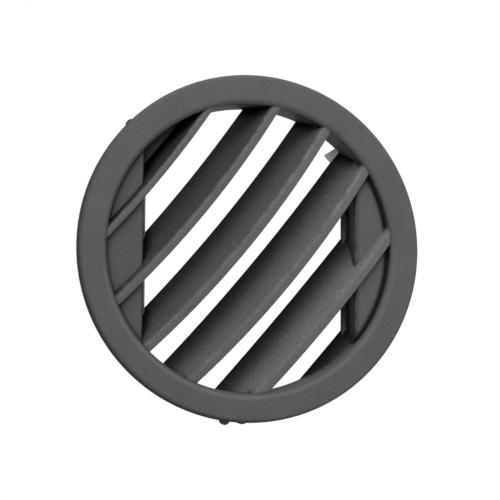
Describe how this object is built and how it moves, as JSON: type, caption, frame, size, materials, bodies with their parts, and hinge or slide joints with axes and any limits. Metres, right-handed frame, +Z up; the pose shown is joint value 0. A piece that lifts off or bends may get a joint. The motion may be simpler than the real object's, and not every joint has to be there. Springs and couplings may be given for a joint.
{
  "type": "car air vent",
  "caption": "Round dashboard air vent insert: flat ring flange, short collar, bowed diagonal louvre blades and side shelves, moulded in one piece.",
  "frame": {"origin": "on the vent's axis, in the plane where the back of the flange seats on its panel", "axes": "+X to the right seen from the front, +Y back into the duct along the vent's axis, +Z up as fitted"},
  "size_m": [0.08, 0.0093, 0.0804],
  "materials": {
    "moulded_plastic": "fine-grained charcoal grey, low sheen"
  },
  "bodies": {
    "root": {"vent_grille": "moulded_plastic"}
  },
  "joints": []
}
